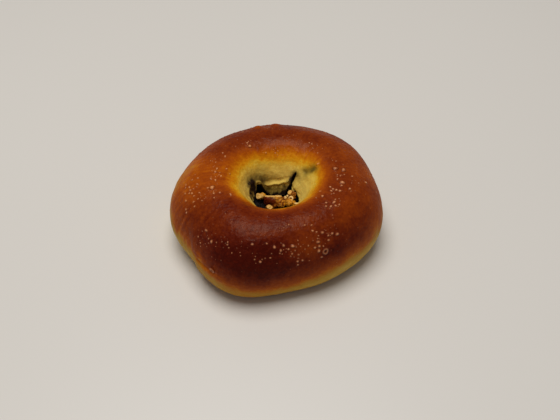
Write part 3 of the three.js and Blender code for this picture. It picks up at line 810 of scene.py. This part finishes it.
def paste_material():
    m = Nodes("bean_paste")
    l = m.attribute("lump")
    grain = m.noise(700.0, 5.0, 0.65)
    v = m.math("ADD", m.range(l, 0.0, 0.7, 0.55, 0.1), m.range(grain, 0.3, 0.7, -0.2, 0.25), clamp=True)
    m.link(m.ramp(v, [(0.0, (0.001, 0.0008, 0.001, 1)), (0.45, (0.003, 0.0015, 0.0015, 1)),
                      (0.8, (0.010, 0.004, 0.003, 1)), (1.0, (0.030, 0.011, 0.007, 1))]), m.bsdf.inputs["Base Color"])
    m.link(m.range(grain, 0.3, 0.7, 0.45, 0.70), m.bsdf.inputs["Roughness"])
    m.link(m.bump(grain, 0.35, 0.0003), m.bsdf.inputs["Normal"])
    m.set(Specular_IOR_Level=0.10)
    return m.mat


paste = paste_mesh()
paste.data.materials.append(paste_material())
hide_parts("bean_paste")
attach(paste, "root")


# ------------------------------------------------------------------ walnut pieces
# As in the CAD model: lobes [x, y, z, radius] that run into each other, and broken faces [nx, ny, nz, distance].
LOBE_BLEND = 0.40
WALNUTS = dict(
    walnut_large=dict(
        at=(1.4, -1.0, 20.4), reach=(6.8, 2.6, 2.6), seed=0.0, grid=(170, 100),
        lobes=[(-5.0, 0.6, 0.8, 2.0), (-5.4, 0.1, -1.0, 1.5), (-2.8, 0.2, 0.1, 2.1), (-0.6, 0.6, 0.8, 1.9),
               (0.8, -1.3, 0.1, 2.1), (-2.1, -1.3, -1.3, 1.4), (2.4, 0.5, 0.1, 1.4), (4.2, -0.8, -0.4, 1.8),
               (6.0, -0.8, -0.9, 1.4)],
        faces=[(0, 0.6, 0.8, 2.25)]),
    walnut_right=dict(
        at=(6.9, 1.5, 20.8), reach=(2.2, 2.2, 2.4), seed=31.0, grid=(110, 70),
        lobes=[(-0.6, 0.8, 1.1, 1.3), (0.7, 0.5, 0.6, 1.25), (0.6, -0.2, -0.6, 1.1), (-0.5, 0.3, -0.5, 1.1),
               (0.0, 0.3, -1.7, 1.2)],
        faces=[(-0.55, -0.1, 0.83, 2.1)]),
    walnut_left=dict(
        at=(-7.1, 3.1, 18.9), reach=(2.1, 1.6, 1.7), seed=57.0, grid=(100, 60),
        lobes=[(-0.9, -0.1, 0.1, 1.25), (0.9, 0.1, 0.2, 1.35), (0.1, -0.2, -0.7, 1.0)],
        faces=[(-0.3, -0.6, 0.75, 1.15)]),
    walnut_front=dict(
        at=(-3.0, -4.1, 19.3), reach=(1.7, 1.3, 1.9), seed=83.0, grid=(100, 60),
        lobes=[(-0.5, 0.1, 0.2, 1.2), (0.6, -0.2, -0.1, 1.0), (0.0, 0.1, -1.2, 1.0)],
        faces=[(0.1, -0.5, 0.86, 1.1)]),
)


def outside_kernel(P, lobes, faces):
    """How far outside the kernel a point is, how deep in a furrow, and how near to a broken face (mm)."""
    near = np.stack([np.exp((r - np.linalg.norm(P - np.array(c[:3]), axis=-1)) / LOBE_BLEND)
                     for c in lobes for r in (c[3],)])
    total = near.sum(0)
    d = -LOBE_BLEND * np.log(total)
    furrow = 1 - near.max(0) / total
    cut = np.full(d.shape, -1e9)
    for f in faces:
        n = np.array(f[:3]) / np.linalg.norm(f[:3])
        cut = np.maximum(cut, P @ n - f[3])
    return np.maximum(d, cut), furrow, cut


def kernel_grid(reach, lobes, faces, nu, nv):
    """Rows of points over the kernel, from pole to pole."""
    th = np.linspace(0, np.pi, nv)[:, None]
    ph = (2 * np.pi * np.arange(nu) / nu)[None, :]
    D = np.stack([reach[0] * np.sin(th) * np.cos(ph), reach[1] * np.sin(th) * np.sin(ph),
                  -reach[2] * np.cos(th) * np.ones_like(ph)], -1)
    D /= np.linalg.norm(D, axis=-1, keepdims=True)
    far = np.full(D.shape[:2], max(reach) + 3.0)
    for _ in range(110):
        out = (outside_kernel(D * far[..., None], lobes, faces)[0] > 0) & (far > 0.4)
        if not out.any():
            break
        far = np.where(out, far - 0.1, far)
    near, far = far, far + 0.1
    for _ in range(8):
        t = (near + far) / 2
        out = outside_kernel(D * t[..., None], lobes, faces)[0] > 0
        near, far = np.where(out, near, t), np.where(out, t, far)
    return D * near[..., None]


def walnut(name, node, at, reach, lobes, faces, seed, grid):
    P = kernel_grid(reach, lobes, faces, *grid)
    _, furrow, cut = outside_kernel(P, lobes, faces)
    N = normals_of(P)
    Q = P + seed
    veins = np.exp(-(fbm(N2, Q / 1.9, 3, 0.5) / 0.13) ** 2)
    broken = smooth(-0.30, -0.05, cut + 0.12 * N1(Q / 0.6))
    worn = smooth(0.30, 0.60, N3(Q / np.array([1.9, 0.9, 0.9])) + 0.35 * N1(Q / 0.5)) * (1 - furrow * 1.5).clip(0, 1)
    d = (0.02 - 0.13 * smooth(0.10, 0.5, furrow) - 0.10 * veins * (1 - broken) + 0.20 * N4(Q / 1.5)
         + 0.05 * fbm(N3, Q / 0.5, 2) + 0.10 * broken * fbm(N4, Q / 0.7, 2))
    P = P + N * d[..., None]
    P[0], P[-1] = P[0].mean(0), P[-1].mean(0)
    # darker where the skin is thick, towards the piece's left end, and golden in the middle
    tone = 0.55 + 0.35 * N1(Q / 2.4) + 0.25 * N3(Q / 1.1)
    if name == "walnut_main":
        along = P[..., 0] + 1.1 * N1(Q / 1.4)
        tone += -0.66 * smooth(-0.8, -3.4, along) + 0.40 * smooth(2.2, 3.2, P[..., 0])
        worn *= smooth(-3.4, -2.2, P[..., 0])
        ring = np.linalg.norm(P[..., :2] - np.array([3.2, -3.6]), axis=-1) + 0.25 * N1(Q / 0.9)
        bands = np.cos(2 * np.pi * ring / 1.25) * smooth(-0.6, 0.8, P[..., 0]) * smooth(0.2, -0.6, P[..., 1])
        tone += 0.30 * bands
        furrow = np.clip(furrow + 0.28 * smooth(0.2, 1.0, -bands), 0, 1)
    if name == "walnut_left_piece":
        tone += 0.45
    ob = turned_mesh(name, P + np.array(at) + SHIFT,
                     dict(furrow=np.clip(furrow * 0.9 + 0.6 * veins, 0, 1), broken=np.clip(broken + 0.55 * worn, 0, 1),
                          tone=np.clip(tone, 0, 1)))
    ob.data.materials.append(WALNUT)
    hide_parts(node)
    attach(ob, "root")
    return ob


def walnut_material():
    m = Nodes("walnut")
    tone = m.math("ADD", m.attribute("tone"), m.range(m.noise(900.0, 4.0, 0.6, 0.6), 0.3, 0.7, -0.14, 0.14), clamp=True)
    skin = m.ramp(tone, [(0.0, (0.11, 0.012, 0.002, 1)), (0.30, (0.22, 0.045, 0.003, 1)),
                         (0.62, (0.48, 0.18, 0.014, 1)), (1.0, (0.74, 0.32, 0.020, 1))])
    # painted shade: the skin is darkened in the furrows between the lobes; the veins mixed into this mask are real
    skin = m.mix(m.math("MULTIPLY", m.attribute("furrow"), 0.80), skin, (0.07, 0.016, 0.003, 1))
    meat = m.ramp(m.noise(1100.0, 4.0, 0.6), [(0.3, (0.58, 0.31, 0.060, 1)), (0.7, (0.90, 0.55, 0.175, 1))])
    m.link(m.mix(m.attribute("broken"), skin, meat), m.bsdf.inputs["Base Color"])
    m.link(m.range(tone, 0.0, 1.0, 0.38, 0.55), m.bsdf.inputs["Roughness"])
    m.link(m.bump(m.noise(1600.0, 4.0, 0.6), 0.30, 0.0003), m.bsdf.inputs["Normal"])
    m.set(Specular_IOR_Level=0.13, Specular_Tint=(1.0, 0.84, 0.58, 1))
    return m.mat


WALNUT = walnut_material()
for shown, node in (("walnut_main", "walnut_large"), ("walnut_right_piece", "walnut_right"),
                    ("walnut_left_piece", "walnut_left"), ("walnut_front_piece", "walnut_front")):
    walnut(shown, node, **WALNUTS[node])


def curl(centre, axis, radius, thick, arc=300, seed=0.0):
    """A bent sliver of kernel: a ring that doesn't quite close, thinner at its ends."""
    axis = np.array(axis) / np.linalg.norm(axis)
    t = np.cross(axis, [0.2, 1.0, 0.1])
    t /= np.linalg.norm(t)
    b = np.cross(axis, t)
    verts, faces = [], []
    around, across = 40, 12
    for i in range(around + 1):
        x = i / around
        a = math.radians(seed * 40 + arc * x)
        taper = 0.25 + 0.75 * math.sin(math.pi * min(max(x, 0.02), 0.98)) ** 0.45
        out = t * math.cos(a) + b * math.sin(a)
        for j in range(across):
            c = 2 * math.pi * j / across
            w = thick * taper * (1 + 0.18 * math.sin(3 * a + 2 * c + seed))
            verts.append(np.array(centre) + out * (radius + w * math.cos(c)) + axis * w * 1.2 * math.sin(c))
    for i in range(around):
        for j in range(across):
            k = (j + 1) % across
            faces.append([i * across + j, (i + 1) * across + j, (i + 1) * across + k, i * across + k])
    faces.append([j for j in range(across)])
    faces.append([around * across + j for j in reversed(range(across))])
    return np.array(verts), faces


def crumb(centre, size, seed):
    """A closed crumb of uneven form."""
    nu, nv = 16, 9
    verts, faces = [[0, 0, -1.0]], []
    for j in range(1, nv):
        for i in range(nu):
            th, ph = math.pi * j / nv, 2 * math.pi * i / nu
            verts.append([math.sin(th) * math.cos(ph), math.sin(th) * math.sin(ph), -math.cos(th)])
    verts.append([0, 0, 1.0])
    V = np.array(verts)
    V *= (1 + 0.30 * N1(V * 1.1 + seed) + 0.12 * N2(V * 2.6 + seed))[:, None] * np.array(size)
    for i in range(nu):
        k = (i + 1) % nu
        faces.append([0, 1 + k, 1 + i])
        for j in range(nv - 2):
            a = 1 + j * nu
            faces.append([a + i, a + k, a + nu + k, a + nu + i])
        faces.append([len(V) - 1, 1 + (nv - 2) * nu + i, 1 + (nv - 2) * nu + k])
    return V + np.array(centre), faces


# crumbs and a curl of pale kernel: centre and half sizes (mm)
CRUMBS = [((4.0, -0.6, 21.9), (0.60, 0.6, 0.95)), ((8.9, -3.4, 21.2), (1.0, 0.45, 0.45)), ((4.9, 0.5, 21.9), (0.5, 0.5, 0.5)),
          ((-4.6, 1.6, 19.2), (0.5, 0.5, 0.55)), ((-6.9, -3.6, 17.2), (0.6, 0.5, 0.45)), ((-5.2, -5.6, 17.3), (0.5, 0.7, 0.4))]


def walnut_crumbs():
    parts = [curl((6.4, -0.9, 21.7), (-0.15, -0.62, 0.75), 0.82, 0.42, 318, 1.3)]
    parts += [crumb(c, s, 5.0 + 3 * k) for k, (c, s) in enumerate(CRUMBS)]
    verts = [v + SHIFT for v, _ in parts]
    ob = joined_mesh("walnut_crumbs", list(zip(verts, [f for _, f in parts])))
    m = Nodes("walnut_crumb")
    m.link(m.ramp(m.noise(1200.0, 4.0, 0.6), [(0.3, (0.72, 0.42, 0.12, 1)), (0.7, (0.95, 0.68, 0.30, 1))]),
           m.bsdf.inputs["Base Color"])
    m.link(m.bump(m.noise(1800.0, 4.0, 0.6), 0.30, 0.0002), m.bsdf.inputs["Normal"])
    m.set(Roughness=0.5, Specular_IOR_Level=0.35)
    ob.data.materials.append(m.mat)
    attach(ob, "root")


walnut_crumbs()

# ------------------------------------------------------------------ floor, light and camera
def stage_floor():
    me = bpy.data.meshes.new("floor")
    s = 3.0
    me.from_pydata([(-s, -s, 0), (s, -s, 0), (s, s, 0), (-s, s, 0)], [], [(0, 1, 2, 3)])
    ob = bpy.data.objects.new("floor", me)
    bpy.context.scene.collection.objects.link(ob)
    m = Nodes("floor_glaze")
    m.link(m.ramp(m.noise(3.0, 2.0), [(0.3, (0.735, 0.70, 0.655, 1)), (0.7, (0.75, 0.715, 0.67, 1))]),
           m.bsdf.inputs["Base Color"])
    m.set(Roughness=0.35, Specular_IOR_Level=0.3)
    me.materials.append(m.mat)


stage_floor()


def softbox(name, at, target, size, power, colour=(1, 1, 1)):
    data = bpy.data.lights.new(name, "AREA")
    data.shape = "DISK"
    data.size = size
    data.energy = power
    data.color = colour
    ob = bpy.data.objects.new(name, data)
    ob.location = at
    ob.rotation_euler = (Vector(target) - Vector(at)).to_track_quat("-Z", "Y").to_euler()
    bpy.context.scene.collection.objects.link(ob)


softbox("overhead", (-0.08, 0.05, 1.0), (0, 0, 0), 0.66, 7.7, (1.0, 0.985, 0.955))

world = bpy.data.worlds.new("room")
world.use_nodes = True
bg = world.node_tree.nodes["Background"]
bg.inputs["Color"].default_value = (1.0, 0.985, 0.965, 1)
bg.inputs["Strength"].default_value = 0.165
bpy.context.scene.world = world

ELEVATION, FOCAL_PX, DISTANCE = math.radians(49.0), 780.0, 0.351
target = Vector(((1.62 + SHIFT[0]) * MM, (-1.37 + SHIFT[1]) * MM, 14.6 * MM))
cam_data = bpy.data.cameras.new("camera")
cam_data.sensor_width = 36.0
cam_data.lens = FOCAL_PX / 560.0 * 36.0
cam_data.clip_start, cam_data.clip_end = 0.01, 20.0
cam = bpy.data.objects.new("camera", cam_data)
cam.location = target + DISTANCE * Vector((0, -math.cos(ELEVATION), math.sin(ELEVATION)))
cam.rotation_euler = (target - cam.location).to_track_quat("-Z", "Y").to_euler()
bpy.context.scene.collection.objects.link(cam)
bpy.context.scene.camera = cam
bpy.context.scene.view_settings.view_transform = "Standard"
